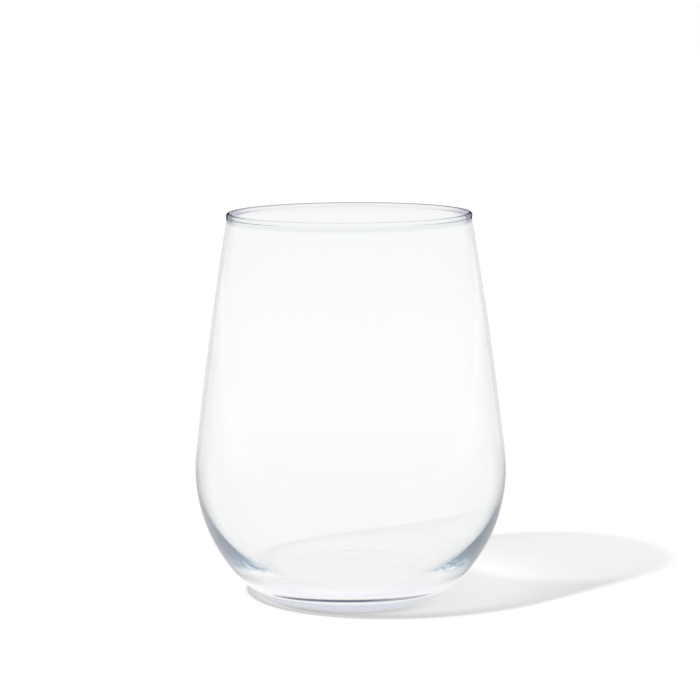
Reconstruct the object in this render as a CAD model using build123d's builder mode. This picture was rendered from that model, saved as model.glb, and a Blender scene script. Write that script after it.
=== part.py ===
from build123d import *
import os
from math import sqrt

# A stemless wine glass: one clear, blown lathe form that stands on a ring round a shallow punt.
# Millimetres, +Z up. The origin is the middle of the foot ring, on the table.

# Driving dimensions of the outside
overall_height = 110.5
mouth_diameter = 70.3
belly_diameter = 90.0
belly_height = 36.3
foot_diameter = 48.2
heel_radius = 7.5
side_radius = 1300.0

# Driving dimensions of the inside
rim_wall = 1.1
belly_wall = 1.2
bowl_radius = 36.5
corner_radius = 14.0
floor_thickness = 3.6

# Driving dimensions of the underside and the rolled rim
punt_diameter = 44.6
punt_depth = 0.6
rim_diameter = 1.5
rim_proud = 0.2
neck_fillet = 0.6

# Radii and heights that follow
mouth_radius = mouth_diameter / 2
belly_radius = belly_diameter / 2
foot_radius = foot_diameter / 2
punt_radius = punt_diameter / 2
rim_radius = rim_diameter / 2
rim_height = overall_height - rim_radius
floor_height = punt_depth + floor_thickness


def lower_radius():
    """Radius of the lower body: an arc upright at the belly that the heel's round touches from inside."""
    overhang = belly_radius - foot_radius
    rise = belly_height - heel_radius
    return (overhang**2 + rise**2 - heel_radius**2) / (2 * (overhang - heel_radius))


def corner_reach():
    """How far out the corner's centre lies from the bowl's, for a corner that touches it from inside."""
    rise = belly_height - floor_height - corner_radius
    return sqrt((bowl_radius - corner_radius)**2 - rise**2)


def side_centre(arc_centre, arc_radius, top):
    """Centre of the long side arc that ends at top and that the arc below it touches from inside."""
    way = top - arc_centre
    reach = side_radius - arc_radius
    along = (reach**2 - side_radius**2 + way.length**2) / (2 * way.length)
    across = sqrt(reach**2 - along**2)
    unit = way.normalized()
    return arc_centre + unit * along + Vector(-unit.Y, unit.X) * across


def beyond(start, through, distance):
    """The point that lies at a distance from start, on the line from start through another point."""
    return start + (through - start).normalized() * distance


# Outside: heel, lower body and side, each tangent to the next
body_radius = lower_radius()
body_centre = Vector(belly_radius - body_radius, belly_height)
heel_centre = Vector(foot_radius, heel_radius)
heel_start = Vector(foot_radius, 0)
heel_end = beyond(body_centre, heel_centre, body_radius)
neck_outside = Vector(mouth_radius - rim_proud, rim_height)
outer_centre = side_centre(body_centre, body_radius, neck_outside)
shoulder_outside = beyond(outer_centre, body_centre, side_radius)

# Inside: side, bowl, corner and flat floor, each tangent to the next
bowl_centre = Vector(belly_radius - belly_wall - bowl_radius, belly_height)
corner_centre = Vector(bowl_centre.X + corner_reach(), floor_height + corner_radius)
corner_top = beyond(bowl_centre, corner_centre, bowl_radius)
neck_inside = neck_outside - Vector(rim_wall, 0)
inner_centre = side_centre(bowl_centre, bowl_radius, neck_inside)
shoulder_inside = beyond(inner_centre, bowl_centre, side_radius)
floor_edge = Vector(corner_centre.X, floor_height)
floor_middle = Vector(0, floor_height)

# Underside: the punt's dome rises from the ring to the middle
punt_middle = Vector(0, punt_depth)
punt_edge = Vector(punt_radius, 0)

with BuildPart() as glass_body:
    with BuildSketch(Plane.XZ) as profile:
        with BuildLine() as outline:
            TangentArc(punt_middle, punt_edge, tangent=(1, 0))
            Line(punt_edge, heel_start)
            RadiusArc(heel_start, heel_end, -heel_radius)
            RadiusArc(heel_end, shoulder_outside, -body_radius)
            RadiusArc(shoulder_outside, neck_outside, -side_radius)
            Line(neck_outside, neck_inside)
            RadiusArc(neck_inside, shoulder_inside, side_radius)
            RadiusArc(shoulder_inside, corner_top, bowl_radius)
            RadiusArc(corner_top, floor_edge, corner_radius)
            Line(floor_edge, floor_middle)
            Line(floor_middle, punt_middle)
        # One wire whose edges share their end points, so that it closes at any size
        make_face(Wire(outline.edges()))
        # The rolled rim is a round bead, proud of the wall on both sides and blended into it
        with Locations((mouth_radius - rim_radius, rim_height)):
            Circle(rim_radius)
        neck = profile.vertices().filter_by_position(Axis.Y, rim_height - rim_radius, rim_height)
        fillet(neck.sort_by(Axis.Y)[:2], neck_fillet)
    revolve(axis=Axis.Z)

glass_body.part.label = "glass_body"
os.makedirs("parts", exist_ok=True)
export_step(glass_body.part, "parts/glass_body.step")
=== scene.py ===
from functools import reduce
from math import cos, pi, radians, sin

import bpy
import numpy as np
from bpy.props import FloatProperty, FloatVectorProperty, IntProperty, PointerProperty
from mathutils import Matrix, Vector


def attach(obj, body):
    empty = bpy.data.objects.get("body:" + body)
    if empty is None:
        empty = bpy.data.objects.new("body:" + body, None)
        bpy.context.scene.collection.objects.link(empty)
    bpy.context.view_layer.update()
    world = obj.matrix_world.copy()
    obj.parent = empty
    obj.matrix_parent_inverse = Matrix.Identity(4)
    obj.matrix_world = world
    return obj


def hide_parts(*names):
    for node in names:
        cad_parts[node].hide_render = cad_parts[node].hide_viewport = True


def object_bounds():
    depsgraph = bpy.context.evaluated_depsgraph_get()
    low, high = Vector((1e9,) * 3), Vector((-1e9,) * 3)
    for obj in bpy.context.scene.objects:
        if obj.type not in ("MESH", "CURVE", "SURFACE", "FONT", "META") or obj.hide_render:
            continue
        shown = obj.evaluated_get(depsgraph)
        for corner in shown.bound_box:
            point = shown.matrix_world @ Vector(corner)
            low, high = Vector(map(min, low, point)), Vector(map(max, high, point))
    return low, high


bl_info = {
    "name": "Stemless wine glass",
    "version": (1, 0, 0),
    "blender": (4, 5, 0),
    "location": "View3D > Sidebar > Glass",
    "description": "Blows a clear stemless wine glass and sets it on a white table",
    "category": "Add Mesh",
}

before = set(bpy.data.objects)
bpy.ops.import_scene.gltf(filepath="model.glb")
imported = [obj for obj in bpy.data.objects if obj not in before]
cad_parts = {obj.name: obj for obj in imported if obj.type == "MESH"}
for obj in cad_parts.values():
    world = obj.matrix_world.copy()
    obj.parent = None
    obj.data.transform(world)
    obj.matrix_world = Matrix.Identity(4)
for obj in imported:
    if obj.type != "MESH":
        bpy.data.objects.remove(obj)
CAD_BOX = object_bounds()
MM = 0.001

# How many arc steps a long arc, the punt's dome and a small round take at a time
LONG_ARC, PUNT_ARC, SMALL_ARC = 1 / 20, 1 / 8, 4
# Spacing of the points on a straight line
FLAT_PITCH = 2 * MM
# The mesh attribute that is 1 on the inside of the glass
INSIDE = "inside"
# A test on a whole count is made half a count away from it
HALF = 0.5
# The index of refraction that bends nothing
NO_BENDING = 1.0
# How fine the two noises are, and the values that most of a noise lies between
WAVE_DETAIL = 1.0
RAGGED_DETAIL = 2.0
NOISE_RANGE = (0.25, 0.75)


# Settings that a user would change

def length(name, description, millimetres):
    """A length setting, written in millimetres and kept in metres."""
    return FloatProperty(
        name=name, description=description, default=millimetres * MM, unit="LENGTH", precision=5
    )


def colour(name, description, value):
    """A colour setting in linear light."""
    return FloatVectorProperty(
        name=name, description=description, default=value, size=3, min=0, max=1, subtype="COLOR"
    )


def share(name, description, value):
    """A setting between 0 and 1."""
    return FloatProperty(
        name=name, description=description, default=value, min=0, max=1, subtype="FACTOR"
    )


class GlassShape(bpy.types.PropertyGroup):
    """Sizes of the glass, from the table up"""

    height: FloatProperty(
        name="Height", description="Table to the top of the rim",
        default=CAD_BOX[1].z - CAD_BOX[0].z, unit="LENGTH", precision=5,
    )
    mouth: length("Mouth", "Diameter over the rolled rim", 70.3)
    belly: length("Belly", "Largest diameter", 90.0)
    belly_height: length("Belly height", "Table to the largest diameter", 36.3)
    foot: length("Foot", "Outer diameter of the flat foot ring", 48.2)
    heel_radius: length("Heel round", "Radius from the foot ring into the body", 7.5)
    side_radius: length("Side curve", "Radius of the long curve of the side", 1300.0)
    rim_wall: length("Rim wall", "Wall under the rolled rim", 1.1)
    belly_wall: length("Belly wall", "Wall at the belly", 1.2)
    bowl_radius: length("Bowl curve", "Radius of the inside below the belly", 36.5)
    corner_radius: length("Corner", "Radius of the inside from the bowl into the floor", 14.0)
    floor_thickness: length("Floor", "Glass over the middle of the punt", 3.6)
    punt: length("Punt", "Diameter of the hollow in the underside", 44.6)
    punt_depth: length("Punt depth", "Height of the hollow in the underside", 0.6)
    rim: length("Rolled rim", "Diameter of the bead round the mouth", 1.5)
    rim_proud: length("Rim proud", "How far the bead stands out of the wall", 0.2)
    neck_fillet: length("Neck", "Radius between the bead and the wall", 0.6)
    turns: IntProperty(name="Steps round", description="Faces round the glass", default=320, min=32)
    arc_step: FloatProperty(
        name="Arc step", description="Largest turn of the outline from one ring to the next",
        default=radians(2.0), unit="ROTATION",
    )


class GlassFinish(bpy.types.PropertyGroup):
    """What the glass does with light, and the shade and glints painted into its colour"""

    ior: FloatProperty(
        name="Index of refraction", description="How strongly the glass bends light", default=1.5
    )
    tint: colour("Tint", "Colour that white light takes in a long way through the glass", (0.86, 0.9, 1.0))
    tint_density: FloatProperty(
        name="Tint density", description="How fast the tint builds up, for each metre", default=8.0
    )
    body: colour("Glass", "Colour of white light after both faces of the upper wall", (0.972, 0.98, 0.976))
    # Painted shade: the lower wall, and the wall toward the top, are coloured a little darker than the rest
    lower_wall_shade: colour(
        "Low glass", "Colour of white light after both faces of the lower wall", (0.94, 0.952, 0.944)
    )
    top_wall_shade: colour(
        "Top glass", "Colour of white light after both faces of the wall at the top", (0.946, 0.956, 0.95)
    )
    top_start: length("Top starts", "Height where the top wall's colour starts", 55.0)
    top_end: length("Top ends", "Height over which the wall has the top's colour", 106.0)
    # Painted shade on the inside of the glass, where the camera sees it through the mouth
    mouth_shade: colour(
        "Mouth tint", "Colour of light from the inside, seen through the mouth", (0.81, 0.82, 0.815)
    )
    floor_body: colour(
        "Floor glass", "Colour of white light after both faces of the floor", (0.975, 0.965, 0.95)
    )
    floor_end: length("Floor ends", "Height under which the glass has the floor's colour", 6.0)
    # Painted shade where the camera grazes the wall: edge, side and brink tints on the upper wall, soft,
    # low edge and line tints on the lower wall
    edge_shade: colour("Edge tint", "Colour of light that grazes the thin upper wall", (0.68, 0.655, 0.635))
    side_tint: colour(
        "Side tint", "Colour of light that meets the upper wall at a small slant", (0.8, 0.81, 0.81)
    )
    side_start: share("Side start", "Slant at which the upper wall starts to take that colour", 0.3)
    side_end: share("Side end", "Slant at which the upper wall has that colour", 0.65)
    side_low: length("Side low", "Height under which the upper wall has the side tint", 62.0)
    side_high: length("Side high", "Height over which the upper wall has no side tint", 84.0)
    brink_tint: colour(
        "Brink tint", "Colour of light close to the edges of the upper wall", (0.68, 0.67, 0.67)
    )
    brink_start: share("Brink start", "Slant at which the upper wall starts to take that colour", 0.53)
    brink_end: share("Brink end", "Slant at which the upper wall has that colour", 0.75)
    brink_low: length("Brink low", "Height under which the upper wall has the brink tint", 71.0)
    brink_high: length("Brink high", "Height over which the upper wall has no brink tint", 90.0)
    low_edge_tint: colour(
        "Low edge tint", "Colour of light that grazes the lower wall", (0.36, 0.375, 0.385)
    )
    line_tint: colour("Line tint", "Colour of the dark line that ends the lower wall", (0.03, 0.035, 0.045))
    edge_start: share("Edge start", "Slant at which the upper edges start to darken", 0.55)
    edge_end: share("Edge end", "Slant at which the upper edges are darkest", 0.9)
    soft_tint: colour(
        "Soft tint", "Colour of light that meets the lower wall at a small slant", (0.86, 0.865, 0.858)
    )
    soft_start: share("Soft start", "Slant at which the lower wall starts to take that colour", 0.15)
    soft_end: share("Soft end", "Slant at which the lower wall has that colour", 0.65)
    low_edge_start: share("Low edge start", "Slant at which the lower edges start to darken", 0.55)
    low_edge_end: share("Low edge end", "Slant at which the lower edges are darkest", 0.8)
    line_start: share("Line start", "Slant at which the dark line starts", 0.78)
    line_end: share("Line end", "Slant at which the dark line is darkest", 0.85)
    low_start: length("Low wall starts", "Height under which the wall has the low edge tint", 36.0)
    low_end: length("Low wall ends", "Height over which the wall has the upper edge tint", 50.0)
    foot_start: length("Foot starts", "Height under which edges are clear", 6.0)
    foot_end: length("Foot ends", "Height over which edges are dark", 8.5)
    # Painted lilac shade low on the foot, where the camera sees it next to the table
    foot_shade: colour("Foot tint", "Colour of light that enters next to the table", (0.57, 0.595, 0.7))
    foot_shade_start: length("Foot tint starts", "Height under which the foot has its full tint", 2.9)
    foot_shade_end: length("Foot tint ends", "Height over which the foot tint is gone", 3.5)
    # Painted dark blue shade for light trapped in the thick heel, with painted bright glints where it ends
    heel_shade: colour(
        "Heel tint", "Colour of light that stays trapped in the thick heel", (0.053, 0.081, 0.121)
    )
    tip_shade: colour("Tip tint", "Colour of light that stays trapped low in the heel", (0.1, 0.168, 0.25))
    tip_start: length("Tip starts", "Height under which trapped light has the tip tint", 7.0)
    tip_end: length("Tip ends", "Height over which trapped light has the heel tint", 14.0)
    ragged: length("Ragged", "How far the dark of the heel ends unevenly, up and down", 2.2)
    ragged_size: length("Ragged size", "Size of those uneven places", 2.4)
    spark_highlight: colour("Spark tint", "Colour of the bright places low in the heel", (0.42, 0.58, 0.70))
    spark_start: share("Spark start", "Noise at which a bright place starts", 0.48)
    spark_end: share("Spark end", "Noise at which a bright place is brightest", 0.56)
    spark_low: length("Spark low", "Height under which the heel has bright places", 6.5)
    spark_high: length("Spark high", "Height over which it has none", 9.5)
    heel_start: length("Heel starts", "Height where trapped light starts to darken", 4.0)
    heel_end: length("Heel ends", "Height over which trapped light is darkest", 5.6)
    # Painted shade on the rolled rim: dark where light turns back in it, a darker neck, lilac on the far
    # bead with a dark crest line, dark lines on the near rim
    rim_shade: colour("Rim tint", "Colour of light that turns back inside the rolled rim", (0.05, 0.05, 0.1))
    rim_start: length("Rim starts", "Height over which the wall counts as the rolled rim", 108.8)
    rim_turns: IntProperty(
        name="Rim turns", description="Reflections from which light has the rim tint", default=1
    )
    crest_tint: colour(
        "Crest tint", "Colour of the thin line along the top of the far rim", (0.1, 0.1, 0.12)
    )
    crest_start: share("Crest start", "Upward lean of the rim at which that line starts", 0.55)
    crest_end: share("Crest end", "Upward lean of the rim at which that line is darkest", 0.85)
    bead_tint: colour("Bead tint", "Colour of light that grazes the far rim", (0.4, 0.37, 0.52))
    bead_start: share("Bead start", "Slant at which the far rim starts to take its tint", 0.45)
    bead_end: share("Bead end", "Slant at which the far rim has its tint", 0.75)
    rim_line: colour(
        "Rim line", "Colour of the dark lines where the near rim is grazed", (0.002, 0.002, 0.008)
    )
    rim_line_start: share("Rim line start", "Slant at which those lines start", 0.66)
    rim_line_end: share("Rim line end", "Slant at which those lines are darkest", 0.9)
    neck_shade: colour(
        "Neck tint", "Colour of light that meets the neck under the rolled rim", (0.76, 0.76, 0.79)
    )
    neck_side: colour(
        "Neck side", "Colour of light that grazes the neck at either side", (0.04, 0.04, 0.07)
    )
    neck_side_start: share("Neck side start", "Slant at which the neck starts to darken", 0.5)
    neck_side_end: share("Neck side end", "Slant at which the neck is darkest", 0.85)
    neck_start: length("Neck starts", "Height where the neck's tint starts", 107.4)
    neck_middle: length("Neck middle", "Height where the neck's tint is full", 108.5)
    neck_end: length("Neck ends", "Height where the neck's tint ends", 109.4)
    trapped_turns: IntProperty(
        name="Trapped turns", description="Reflections from which light counts as trapped", default=3
    )
    waviness: length("Waviness", "Height of the soft waves that blowing leaves", 0.02)
    wave_size: length("Wave size", "Size of those waves", 18.0)
    shadow_clear: share("Shadow light", "Light that a face lets straight through into the shadow", 0.9)
    shadow_heel_clear: share(
        "Shadow heel light", "Light that a face of the thick lower wall lets straight through", 0.965
    )
    shadow_dark: share("Shadow dark", "Light that a grazed face lets through into the shadow", 0.68)
    shadow_heel: share("Shadow heel", "Light that a grazed face of the thick lower wall lets through", 0.45)
    shadow_heel_start: share(
        "Shadow heel start", "Slant at which the lower wall starts to shade the table", 0.25
    )
    shadow_heel_end: share("Shadow heel end", "Slant at which the lower wall shades the table most", 0.65)
    shadow_edge: share("Shadow edge", "How wide the dark outline of the shadow is", 0.3)
    shadow_low: length("Shadow low", "Height under which the shadow has the heel's outline", 12.0)
    shadow_high: length("Shadow high", "Height over which the shadow has the thin outline", 28.0)
    shadow_inside: share(
        "Shadow inside", "How much of the shadow is left where it is seen through the glass", 0.24
    )
    contact: length("Contact gap", "Gap over the table that counts as touching it", 0.1)
    contact_tint: colour(
        "Contact tint", "Colour of light that is left where the foot touches the table", (0.1, 0.12, 0.2)
    )
    overhang: length("Overhang", "Height under which the heel shades the table", 3.5)
    overhang_dark: share("Overhang light", "Light that the lowest part of the heel lets through", 0.5)
    overhang_front: length(
        "Overhang front", "Distance to either side over which that shade starts to fade", 10.0
    )
    overhang_side: length("Overhang side", "Distance to either side over which that shade is gone", 26.0)
    overhang_start: length("Overhang starts", "Distance from the axis where that shade starts", 24.2)
    overhang_end: length("Overhang ends", "Distance from the axis where it is full", 26.0)


class Studio(bpy.types.PropertyGroup):
    """The white table, the light and the camera"""

    floor: colour("Table", "Colour of the table", (0.9, 0.9, 0.9))
    floor_size: length("Table size", "Side of the table", 12000.0)
    floor_roughness: share("Table roughness", "How matt the table is", 0.9)
    floor_gloss: share("Table gloss", "How much the table mirrors", 0.1)
    floor_lift: share("Table lift", "Light that brings the table up to white", 0.37)
    ambient: share("Soft light", "Strength of the soft light from all round", 0.25)
    room: colour("Room", "Colour of the room that the glass mirrors", (0.78, 0.81, 0.82))
    # Painted contact shade: the table isn't lifted to white under the foot ring, less so towards +X
    touch: length("Touch", "How far past the foot ring the table counts as touched", 1.0)
    touch_start: length("Touch start", "Distance to the right at which that starts to fade", 2.0)
    touch_end: length("Touch end", "Distance to the right at which it has faded", 14.0)
    touch_least: share("Touch least", "How much of it is left there", 0.2)
    floor_drop: length("Table drop", "How far the table lies under the foot", 0.15)
    key: FloatProperty(name="Key light", description="Strength of the key light", default=2.0)
    key_azimuth: FloatProperty(
        name="Key direction", description="Where the key light stands, from +X towards +Y",
        default=radians(-146), unit="ROTATION",
    )
    key_height: FloatProperty(
        name="Key height", description="Height of the key light over the table",
        default=radians(54.6), unit="ROTATION",
    )
    key_softness: FloatProperty(
        name="Key softness", description="Angle that the key light fills",
        default=radians(3), unit="ROTATION",
    )
    distance: length("Distance", "Camera to the axis of the glass", 700.0)
    camera_height: length("Camera height", "Camera over the table", 171.6)
    focal: FloatProperty(name="Focal length", description="Lens, in millimetres", default=126.4)
    down: FloatProperty(
        name="Tilt", description="How far the camera looks down", default=radians(8.2), unit="ROTATION"
    )
    roll: FloatProperty(
        name="Roll", description="How far the camera leans", default=radians(0.35), unit="ROTATION"
    )


# The outline of the glass, in metres from the axis and from the table

def meet(centre_a, radius_a, centre_b, radius_b):
    """The point where two circles meet, on the left of the way from the first centre to the second.

    With d between the centres, it lies (a*a - b*b + d*d) / 2d along that way, and the height of the
    right triangle beside it.
    """
    way = centre_b - centre_a
    d = np.hypot(*way)
    along = (radius_a**2 - radius_b**2 + d**2) / (2 * d)
    across = np.sqrt(radius_a**2 - along**2)
    unit = way / d
    return centre_a + unit * along + np.array([-unit[1], unit[0]]) * across


def meet_below(centre_a, radius_a, centre_b, radius_b):
    """The lower of the two points where two circles meet."""
    sides = meet(centre_a, radius_a, centre_b, radius_b), meet(centre_b, radius_b, centre_a, radius_a)
    return min(sides, key=lambda point: point[1])


def beyond(start, through, distance):
    """The point at a distance from start, on the line from start through another point."""
    way = through - start
    return start + way / np.hypot(*way) * distance


def arc(centre, start, end, step, turn):
    """Points of a circle from start to end, each the centre plus a radius turned by an even step.

    turn is 1 for a counter-clockwise arc and -1 for a clockwise one.
    """
    first, last = (np.arctan2(*(p - centre)[::-1]) for p in (start, end))
    sweep = turn * (turn * (last - first) % (2 * pi))
    angle = first + np.linspace(0, sweep, max(2, int(np.ceil(abs(sweep) / step)) + 1))
    return centre + np.hypot(*(start - centre)) * np.stack([np.cos(angle), np.sin(angle)], 1)


def line(start, end, pitch):
    """Evenly spaced points from start to end."""
    count = max(2, int(np.ceil(np.hypot(*(end - start)) / pitch)) + 1)
    return start + np.linspace(0, 1, count)[:, None] * (end - start)


def outline(s):
    """The half outline, from the middle of the punt round the outside to the middle of the floor.

    Outside: punt dome, flat ring, heel round, lower body, long side. Then the rolled rim between its two
    necks. Inside: long side, bowl, corner, flat floor. Each arc touches the next. Returns the points, and
    for each whether it lies on the inside, which starts at the top of the rim.
    """
    mouth, belly, foot, punt, bead = (d / 2 for d in (s.mouth, s.belly, s.foot, s.punt, s.rim))
    rim_height = s.height - bead
    floor_height = s.punt_depth + s.floor_thickness

    # Underside and heel
    punt_middle = np.array([0, s.punt_depth])
    punt_edge = np.array([punt, 0])
    punt_radius = (punt**2 + s.punt_depth**2) / (2 * s.punt_depth)
    punt_centre = np.array([0, s.punt_depth - punt_radius])
    heel_start = np.array([foot, 0])
    heel_centre = np.array([foot, s.heel_radius])

    # Lower body: upright at the belly, and touched by the heel from inside
    overhang = belly - foot
    rise = s.belly_height - s.heel_radius
    body_radius = (overhang**2 + rise**2 - s.heel_radius**2) / (2 * (overhang - s.heel_radius))
    body_centre = np.array([belly - body_radius, s.belly_height])
    heel_end = beyond(body_centre, heel_centre, body_radius)

    # Outer side: the lower body touches it from inside, and it ends in the bead
    neck_outside = np.array([mouth - s.rim_proud, rim_height])
    outer_centre = meet(body_centre, s.side_radius - body_radius, neck_outside, s.side_radius)
    shoulder_outside = beyond(outer_centre, body_centre, s.side_radius)

    # Inner side, bowl and corner
    bowl_centre = np.array([belly - s.belly_wall - s.bowl_radius, s.belly_height])
    neck_inside = neck_outside - (s.rim_wall, 0)
    inner_centre = meet(bowl_centre, s.side_radius - s.bowl_radius, neck_inside, s.side_radius)
    shoulder_inside = beyond(inner_centre, bowl_centre, s.side_radius)
    corner_rise = s.belly_height - floor_height - s.corner_radius
    corner_reach = np.sqrt((s.bowl_radius - s.corner_radius)**2 - corner_rise**2)
    corner_centre = bowl_centre + (corner_reach, -corner_rise)
    corner_top = beyond(bowl_centre, corner_centre, s.bowl_radius)
    floor_edge = np.array([corner_centre[0], floor_height])
    floor_middle = np.array([0, floor_height])

    # Rolled rim: a bead with a small round neck to each side of the wall
    bead_centre = np.array([mouth - bead, rim_height])
    reach = bead + s.neck_fillet
    fillet_outside = meet_below(outer_centre, s.side_radius + s.neck_fillet, bead_centre, reach)
    fillet_inside = meet_below(inner_centre, s.side_radius - s.neck_fillet, bead_centre, reach)
    side_top = beyond(outer_centre, fillet_outside, s.side_radius)
    bead_outside = beyond(bead_centre, fillet_outside, bead)
    bead_inside = beyond(bead_centre, fillet_inside, bead)
    inside_top = beyond(inner_centre, fillet_inside, s.side_radius)

    step = s.arc_step
    long_step, punt_step, fine = (step * part for part in (LONG_ARC, PUNT_ARC, SMALL_ARC))
    outside = [
        arc(punt_centre, punt_middle, punt_edge, punt_step, -1),
        line(punt_edge, heel_start, FLAT_PITCH),
        arc(heel_centre, heel_start, heel_end, fine, 1),
        arc(body_centre, heel_end, shoulder_outside, step, 1),
        arc(outer_centre, shoulder_outside, side_top, long_step, 1),
        arc(fillet_outside, side_top, bead_outside, fine, -1),
    ]
    rim = arc(bead_centre, bead_outside, bead_inside, fine, 1)
    inside = [
        arc(fillet_inside, bead_inside, inside_top, fine, -1),
        arc(inner_centre, inside_top, shoulder_inside, long_step, -1),
        arc(bowl_centre, shoulder_inside, corner_top, step, -1),
        arc(corner_centre, corner_top, floor_edge, step, -1),
        line(floor_edge, floor_middle, FLAT_PITCH),
    ]
    runs = [*outside, rim, *inside]
    points = np.concatenate([runs[0], *(run[1:] for run in runs[1:])])
    rim_top = sum(len(run) - 1 for run in outside) + len(rim) // 2
    return points, np.arange(len(points)) > rim_top


def turned(profile, turns):
    """Corners and faces of a profile carried round the Z axis.

    Each ring is (r cos a, r sin a, z) for even angles a; the two ends lie on the axis and close as fans.
    """
    angle = np.arange(turns) * (2 * pi / turns)
    rings = profile[1:-1]
    around = np.stack([np.cos(angle), np.sin(angle), np.ones(turns)], 1)
    along = np.stack([rings[:, 0], rings[:, 0], rings[:, 1]], 1)
    corners = (along[:, None] * around[None]).reshape(-1, 3)
    poles = np.array([[0, 0, profile[0, 1]], [0, 0, profile[-1, 1]]])
    count = len(rings)
    here = np.arange(turns)
    after = (here + 1) % turns
    row = np.arange(count - 1)[:, None] * turns
    walls = np.stack([row + here, row + after, row + turns + after, row + turns + here], -1)
    first, last = count * turns, count * turns + 1
    below = np.stack([np.full(turns, first), after, here], 1)
    above = np.stack([np.full(turns, last), (count - 1) * turns + here, (count - 1) * turns + after], 1)
    return np.concatenate([corners, poles]), [walls.reshape(-1, 4), below, above]


def mesh_object(name, corners, faces, smooth):
    """A mesh object at the origin from arrays of corners and of faces."""
    mesh = bpy.data.meshes.new(name)
    mesh.from_pydata(corners.tolist(), [], [face for group in faces for face in group.tolist()])
    mesh.polygons.foreach_set("use_smooth", np.full(len(mesh.polygons), smooth))
    mesh.update()
    piece = bpy.data.objects.new(name, mesh)
    bpy.context.scene.collection.objects.link(piece)
    return piece


# Materials

class Nodes:
    """Short calls that add and join the nodes of one tree."""

    def __init__(self, tree):
        self.tree = tree

    def add(self, kind, **settings):
        """A new node of a kind, with its settings."""
        node = self.tree.nodes.new(kind)
        for key, value in settings.items():
            setattr(node, key, value)
        return node

    def join(self, source, into):
        """Joins an output to an input."""
        self.tree.links.new(source, into)

    def feed(self, into, value):
        """Gives an input an output to read or a number to hold."""
        if isinstance(value, bpy.types.NodeSocket):
            self.join(value, into)
        else:
            into.default_value = value

    def part(self, vector, axis):
        """One component of a vector."""
        node = self.add("ShaderNodeSeparateXYZ")
        self.join(vector, node.inputs[0])
        return node.outputs[axis]

    def radius(self, place):
        """How far a place lies from the Z axis."""
        flat = self.add("ShaderNodeVectorMath", operation="MULTIPLY")
        self.join(place, flat.inputs[0])
        flat.inputs[1].default_value = (1, 1, 0)
        size = self.add("ShaderNodeVectorMath", operation="LENGTH")
        self.join(flat.outputs[0], size.inputs[0])
        return size.outputs["Value"]

    def noise(self, place, size, detail):
        """Noise whose soft spots are about size wide."""
        node = self.add("ShaderNodeTexNoise")
        node.inputs["Scale"].default_value = 1 / size
        node.inputs["Detail"].default_value = detail
        self.join(place, node.inputs["Vector"])
        return node.outputs["Fac"]

    def maths(self, operation, a, b):
        """A Math node on two outputs or numbers."""
        node = self.add("ShaderNodeMath", operation=operation)
        for into, value in zip(node.inputs, (a, b)):
            self.feed(into, value)
        return node.outputs[0]

    def product(self, *factors):
        """Several outputs or numbers multiplied."""
        return reduce(lambda a, b: self.maths("MULTIPLY", a, b), factors)

    def at_least(self, count, number):
        """1 where a whole count is a number or more, and 0 elsewhere."""
        return self.maths("GREATER_THAN", count, number - HALF)

    def fewer(self, count, number):
        """1 where a whole count is under a number, and 0 elsewhere."""
        return self.maths("LESS_THAN", count, number - HALF)

    def ranged(self, value, low, high, bottom, top, smooth=True):
        """value taken from low..high to bottom..top, and held there."""
        node = self.add("ShaderNodeMapRange")
        node.interpolation_type = "SMOOTHSTEP" if smooth else "LINEAR"
        self.join(value, node.inputs["Value"])
        for key, number in (("From Min", low), ("From Max", high), ("To Min", bottom), ("To Max", top)):
            node.inputs[key].default_value = number
        return node.outputs["Result"]

    def ramp(self, value, settings, key, bottom=0, top=1):
        """value taken from the settings key_start..key_end to bottom..top."""
        start, end = getattr(settings, f"{key}_start"), getattr(settings, f"{key}_end")
        return self.ranged(value, start, end, bottom, top)

    def below(self, value, settings, key):
        """1 for a value under the setting key_low, and 0 over key_high."""
        return self.ranged(value, getattr(settings, f"{key}_low"), getattr(settings, f"{key}_high"), 1, 0)

    def blend(self, factor, a, b):
        """A colour between a and b, each an output or a colour."""
        node = self.add("ShaderNodeMix", data_type="RGBA")
        self.join(factor, node.inputs["Factor"])
        for into, value in ((node.inputs["A"], a), (node.inputs["B"], b)):
            self.feed(into, value if isinstance(value, bpy.types.NodeSocket) else (*value, 1))
        return node.outputs["Result"]


def seen_directly(nodes):
    """1 for light seen by the camera, mirrored or through glass, and 0 for light that falls on things."""
    path = nodes.add("ShaderNodeLightPath")
    seen = nodes.maths("MAXIMUM", path.outputs["Is Camera Ray"], path.outputs["Is Glossy Ray"])
    seen = nodes.maths("MAXIMUM", seen, path.outputs["Is Transmission Ray"])
    return nodes.product(seen, nodes.fewer(path.outputs["Diffuse Depth"], 1))


class GlassReading:
    """What the glass reads where light meets it: the place, how it leans, and what the light did before."""

    def __init__(self, nodes):
        coordinates = nodes.add("ShaderNodeTexCoord")
        path = nodes.add("ShaderNodeLightPath")
        self.place = coordinates.outputs["Object"]
        self.height = nodes.part(self.place, "Z")
        self.upward = nodes.part(coordinates.outputs["Normal"], "Z")
        self.slant = nodes.add("ShaderNodeLayerWeight").outputs["Facing"]
        self.inner = nodes.add("ShaderNodeAttribute", attribute_name=INSIDE).outputs["Fac"]
        self.seen = path.outputs["Is Camera Ray"]
        self.turns = path.outputs["Glossy Depth"]
        self.passes = path.outputs["Transmission Depth"]
        self.unseen = [path.outputs[kind] for kind in ("Is Shadow Ray", "Is Diffuse Ray")]


def turned_once(nodes, turns):
    """1 for light that was mirrored once."""
    return nodes.product(nodes.at_least(turns, 1), nodes.fewer(turns, 2))


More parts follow.
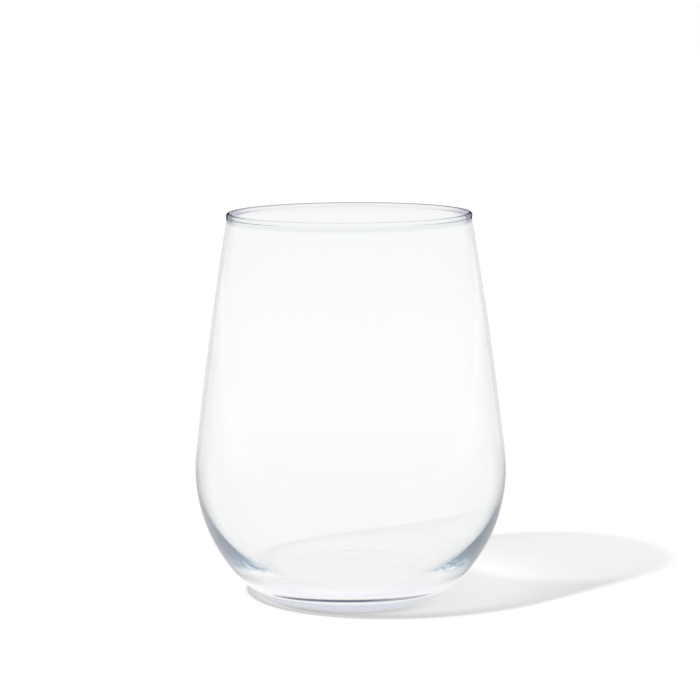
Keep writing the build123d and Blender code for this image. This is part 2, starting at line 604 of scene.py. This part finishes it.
def wall_colour_and_shade(nodes, read, finish):
    """Colour of the plain wall, with painted shade by its height, on the inside seen through the mouth, and
    on the foot.
    """
    low = nodes.ramp(read.height, finish, "low", 1, 0)
    tint = nodes.blend(low, finish.body, finish.lower_wall_shade)
    tint = nodes.blend(nodes.maths("LESS_THAN", read.height, finish.floor_end), tint, finish.floor_body)
    tint = nodes.blend(nodes.ramp(read.height, finish, "top"), tint, finish.top_wall_shade)
    tint = nodes.blend(nodes.product(read.seen, read.inner), tint, finish.mouth_shade)
    at_foot = nodes.ramp(read.height, finish, "foot_shade", 1, 0)
    return nodes.blend(nodes.product(read.seen, at_foot), tint, finish.foot_shade)


def painted_edge_shades(nodes, read, finish, tint):
    """The wall's colour with painted shade at its edges: darker where the camera grazes it, and most below
    the belly.
    """
    first = nodes.product(read.seen, nodes.ramp(read.height, finish, "foot"))
    upper = lower = tint
    for key in ("side", "brink"):
        reach = nodes.product(nodes.ramp(read.slant, finish, key), nodes.below(read.height, finish, key))
        upper = nodes.blend(nodes.product(first, reach), upper, getattr(finish, f"{key}_tint"))
    at_edge = nodes.product(first, nodes.ramp(read.slant, finish, "edge"))
    upper = nodes.blend(at_edge, upper, finish.edge_shade)
    # Painted shade on the lower wall's edges, ending in a painted dark line
    for key in ("soft", "low_edge", "line"):
        reach = nodes.product(first, nodes.ramp(read.slant, finish, key))
        lower = nodes.blend(reach, lower, getattr(finish, f"{key}_tint"))
    return nodes.blend(nodes.ramp(read.height, finish, "low", 1, 0), upper, lower)


def rim_parts(nodes, read, finish):
    """Masks for painted shade on the rim: where light turns back in the rolled rim, where the far bead
    shows, and the near rim's dark lines.
    """
    at_rim = nodes.maths("GREATER_THAN", read.height, finish.rim_start)
    turned_back = nodes.product(nodes.at_least(read.turns, finish.rim_turns), at_rim)
    bead = nodes.product(read.seen, at_rim)
    far_bead = nodes.product(bead, read.inner)
    near_line = nodes.product(
        nodes.maths("SUBTRACT", bead, far_bead), nodes.ramp(read.slant, finish, "rim_line")
    )
    return turned_back, far_bead, near_line


def painted_rim_shades(nodes, read, finish, tint, far_bead, near_line):
    """The colour with painted shade on the rim: a darker neck, a lilac far bead with a dark crest line, and
    the near rim's dark lines.
    """
    neck = nodes.product(
        nodes.ranged(read.height, finish.neck_start, finish.neck_middle, 0, 1),
        nodes.ranged(read.height, finish.neck_middle, finish.neck_end, 1, 0),
    )
    neck_shade = nodes.blend(nodes.ramp(read.slant, finish, "neck_side"), finish.neck_shade, finish.neck_side)
    tint = nodes.blend(nodes.product(read.seen, neck), tint, neck_shade)
    for key, lean in (("bead", read.slant), ("crest", read.upward)):
        reach = nodes.product(far_bead, nodes.ramp(lean, finish, key))
        tint = nodes.blend(reach, tint, getattr(finish, f"{key}_tint"))
    return nodes.blend(near_line, tint, finish.rim_line)


def painted_heel_shades(nodes, read, finish, tint, trapped):
    """The colour with painted dark shade for light trapped in the thick heel, which ends unevenly in
    painted bright glints.
    """
    uneven = nodes.noise(read.place, finish.ragged_size, RAGGED_DETAIL)
    shift = nodes.ranged(uneven, *NOISE_RANGE, -finish.ragged, finish.ragged, smooth=False)
    level = nodes.maths("ADD", read.height, shift)
    kept = nodes.product(trapped, nodes.fewer(read.passes, 2))
    in_heel = nodes.product(kept, nodes.ramp(level, finish, "heel"))
    heel = nodes.blend(nodes.ramp(read.height, finish, "tip"), finish.tip_shade, finish.heel_shade)
    spark = nodes.product(nodes.ramp(uneven, finish, "spark"), nodes.below(read.height, finish, "spark"))
    return nodes.blend(in_heel, tint, nodes.blend(spark, heel, finish.spark_highlight))


def shadow_light(nodes, read, finish):
    """Colour of the light that goes on into the shadow: less at a slant, and little under the foot."""
    lean = nodes.add("ShaderNodeLayerWeight")
    lean.inputs["Blend"].default_value = finish.shadow_edge
    slant = lean.outputs["Facing"]
    clear = nodes.add("ShaderNodeMix", data_type="FLOAT")
    thin = nodes.ranged(slant, 0, 1, finish.shadow_clear, finish.shadow_dark, smooth=False)
    thick = nodes.ramp(slant, finish, "shadow_heel", finish.shadow_heel_clear, finish.shadow_heel)
    low_wall = nodes.below(read.height, finish, "shadow")
    for into, value in zip(("Factor", "A", "B"), (low_wall, thin, thick)):
        nodes.join(value, clear.inputs[into])

    # The lowest part of the heel shades the table, most in front, where no glass was passed on the way
    sideways = nodes.maths("ABSOLUTE", nodes.part(read.place, "X"), 0)
    under = nodes.product(
        nodes.ranged(read.height, 0, finish.overhang, 1, 0),
        nodes.ramp(nodes.radius(read.place), finish, "overhang"),
        nodes.ranged(sideways, finish.overhang_front, finish.overhang_side, 1, 0),
        nodes.fewer(read.passes, 1),
    )
    overhang = nodes.ranged(under, 0, 1, 1, finish.overhang_dark, smooth=False)
    kept = nodes.product(clear.outputs["Result"], overhang)

    # Seen through the glass, the shadow is fainter
    through_glass = nodes.at_least(read.passes, 2)
    left = nodes.ranged(through_glass, 0, 1, 1, finish.shadow_inside, smooth=False)
    shade = nodes.product(nodes.maths("SUBTRACT", 1, kept), left)

    # Where the foot touches the table, light that turned once inside the glass finds little
    touch = nodes.product(
        nodes.fewer(read.passes, 3), nodes.ranged(read.height, 0, finish.contact, 1, 0),
        turned_once(nodes, read.turns),
    )
    return nodes.blend(touch, nodes.maths("SUBTRACT", 1, shade), finish.contact_tint)


def clear_glass(finish):
    """Clear blown glass with a faint tint where it is thick, whose shadow lets most of the light through.

    Light that has been turned back a few times inside the wall leaves it straight, and takes the heel's
    painted dark shade on the way where the wall is thick.
    """
    material = bpy.data.materials.new("clear_glass")
    material.use_nodes = True
    nodes = Nodes(material.node_tree)
    surface = material.node_tree.nodes["Principled BSDF"]
    output = material.node_tree.nodes["Material Output"]
    surface.inputs["Transmission Weight"].default_value = 1.0
    surface.inputs["Roughness"].default_value = 0.0
    read = GlassReading(nodes)
    trapped = nodes.at_least(read.turns, finish.trapped_turns)
    turned_back, far_bead, near_line = rim_parts(nodes, read, finish)
    straight = nodes.maths("MAXIMUM", trapped, near_line)
    nodes.join(nodes.ranged(straight, 0, 1, finish.ior, NO_BENDING, smooth=False), surface.inputs["IOR"])

    # The glass's colour carries painted shade and glints: the wall by height, its edges, the rim and the
    # heel
    tint = wall_colour_and_shade(nodes, read, finish)
    tint = painted_edge_shades(nodes, read, finish, tint)
    tint = painted_rim_shades(nodes, read, finish, tint, far_bead, near_line)
    tint = painted_heel_shades(nodes, read, finish, tint, trapped)
    nodes.join(nodes.blend(turned_back, tint, finish.rim_shade), surface.inputs["Base Color"])

    # Soft waves of blown glass
    bump = nodes.add("ShaderNodeBump")
    bump.inputs["Distance"].default_value = finish.waviness
    nodes.join(nodes.noise(read.place, finish.wave_size, WAVE_DETAIL), bump.inputs["Height"])
    nodes.join(bump.outputs["Normal"], surface.inputs["Normal"])

    through = nodes.add("ShaderNodeBsdfTransparent")
    nodes.join(shadow_light(nodes, read, finish), through.inputs["Color"])
    shown = surface.outputs[0]
    for unseen in read.unseen:
        either = nodes.add("ShaderNodeMixShader")
        for into, source in zip(either.inputs, (unseen, shown, through.outputs[0])):
            nodes.join(source, into)
        shown = either.outputs[0]
    nodes.join(shown, output.inputs["Surface"])

    thick = nodes.add("ShaderNodeVolumeAbsorption")
    thick.inputs["Color"].default_value = (*finish.tint, 1)
    thick.inputs["Density"].default_value = finish.tint_density
    nodes.join(thick.outputs[0], output.inputs["Volume"])
    return material


def white_table(studio, shape):
    """Matt white table, lifted to white where it is seen, so that only the shadow shows.

    It isn't lifted right under the foot ring, where light that turned once inside the glass comes from,
    which paints a dark contact shade there that fades towards +X.
    """
    material = bpy.data.materials.new("white_table")
    material.use_nodes = True
    nodes = Nodes(material.node_tree)
    surface = material.node_tree.nodes["Principled BSDF"]
    surface.inputs["Base Color"].default_value = (*studio.floor, 1)
    surface.inputs["Roughness"].default_value = studio.floor_roughness
    surface.inputs["Specular IOR Level"].default_value = studio.floor_gloss
    surface.inputs["Emission Color"].default_value = (1, 1, 1, 1)
    place = nodes.add("ShaderNodeTexCoord").outputs["Object"]
    radius = nodes.radius(place)
    foot = shape.foot / 2
    # Painted contact shade under the foot ring, weaker towards +X
    touch = nodes.product(
        nodes.ranged(radius, foot, foot + studio.touch, 1, 0),
        nodes.maths("GREATER_THAN", radius, shape.punt / 2),
        nodes.ramp(nodes.part(place, "X"), studio, "touch", 1, studio.touch_least),
        turned_once(nodes, nodes.add("ShaderNodeLightPath").outputs["Glossy Depth"]),
    )
    lift = nodes.product(seen_directly(nodes), studio.floor_lift, nodes.maths("SUBTRACT", 1, touch))
    nodes.join(lift, surface.inputs["Emission Strength"])
    return material


def soft_light(studio):
    """Even soft light: white where it is seen or shines through glass, the room's colour in reflections."""
    world = bpy.data.worlds.new("soft_light")
    world.use_nodes = True
    nodes = Nodes(world.node_tree)
    background = world.node_tree.nodes["Background"]
    path = nodes.add("ShaderNodeLightPath")
    mirrored = nodes.maths("SUBTRACT", path.outputs["Is Glossy Ray"], path.outputs["Is Transmission Ray"])
    nodes.join(nodes.blend(mirrored, (1, 1, 1), studio.room), background.inputs["Color"])
    seen = seen_directly(nodes)
    nodes.join(nodes.ranged(seen, 0, 1, studio.ambient, 1, smooth=False), background.inputs["Strength"])
    return world


# One operator for the glass and one for the stage

class BlowGlassBody(bpy.types.Operator):
    """Blow the glass: one closed wall from the punt round the rim to the floor"""

    bl_idname = "stemless.glass_body"
    bl_label = "Glass body"

    def execute(self, context):
        settings = context.scene.stemless_shape
        profile, inside = outline(settings)
        if not np.isfinite(profile).all():
            raise ValueError("These sizes give no closed outline")
        piece = mesh_object("glass", *turned(profile, settings.turns), smooth=True)
        side = piece.data.attributes.new(INSIDE, "FLOAT", "POINT")
        rings = np.repeat(inside[1:-1], settings.turns)
        side.data.foreach_set("value", np.concatenate([rings, inside[[0, -1]]]).astype(np.float32))
        piece.data.materials.append(clear_glass(context.scene.stemless_finish))
        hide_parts("glass_body")
        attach(piece, "root")
        return {"FINISHED"}


class SetStage(bpy.types.Operator):
    """Lay the white table and set the light and the camera"""

    bl_idname = "stemless.stage"
    bl_label = "Table, light and camera"

    def execute(self, context):
        scene = context.scene
        studio = scene.stemless_studio
        half = studio.floor_size / 2
        corners = half * np.array([[-1, -1, 0], [1, -1, 0], [1, 1, 0], [-1, 1, 0]])
        corners[:, 2] = -studio.floor_drop
        table = mesh_object("table", corners, [np.array([[0, 1, 2, 3]])], smooth=False)
        table.data.materials.append(white_table(studio, scene.stemless_shape))
        scene.world = soft_light(studio)

        lamp = bpy.data.lights.new("key", "SUN")
        lamp.energy = studio.key
        lamp.angle = studio.key_softness
        key = bpy.data.objects.new("key", lamp)
        flat = cos(studio.key_height)
        way = Vector(
            (cos(studio.key_azimuth) * flat, sin(studio.key_azimuth) * flat, sin(studio.key_height))
        )
        key.rotation_euler = way.to_track_quat("Z", "Y").to_euler()
        key.visible_glossy = key.visible_transmission = False
        scene.collection.objects.link(key)

        lens = bpy.data.cameras.new("camera")
        lens.lens = studio.focal
        camera = bpy.data.objects.new("camera", lens)
        place = Matrix.Translation((0, -studio.distance, studio.camera_height))
        tilt = Matrix.Rotation(pi / 2 - studio.down, 4, "X")
        lean = Matrix.Rotation(-studio.roll, 4, "Z")
        camera.matrix_world = place @ tilt @ lean
        scene.collection.objects.link(camera)
        scene.camera = camera
        scene.view_settings.view_transform = "Standard"
        return {"FINISHED"}


class GlassPanel(bpy.types.Panel):
    """Lists the operators and their settings"""

    bl_idname = "VIEW3D_PT_stemless"
    bl_label = "Stemless wine glass"
    bl_space_type = "VIEW_3D"
    bl_region_type = "UI"
    bl_category = "Glass"

    def draw(self, context):
        for operator, groups in STEPS:
            self.layout.operator(operator.bl_idname)
            for group in groups:
                settings = getattr(context.scene, group)
                for key in settings.__annotations__:
                    self.layout.prop(settings, key)


GROUPS = {"stemless_shape": GlassShape, "stemless_finish": GlassFinish, "stemless_studio": Studio}
STEPS = [
    (BlowGlassBody, ("stemless_shape", "stemless_finish")),
    (SetStage, ("stemless_studio",)),
]
CLASSES = [*GROUPS.values(), BlowGlassBody, SetStage, GlassPanel]


def register():
    for kind in CLASSES:
        bpy.utils.register_class(kind)
    for name, group in GROUPS.items():
        setattr(bpy.types.Scene, name, PointerProperty(type=group))


def unregister():
    for name in GROUPS:
        delattr(bpy.types.Scene, name)
    for kind in reversed(CLASSES):
        bpy.utils.unregister_class(kind)


def main():
    register()
    bpy.ops.stemless.glass_body()
    bpy.ops.stemless.stage()


if __name__ == "__main__":
    main()
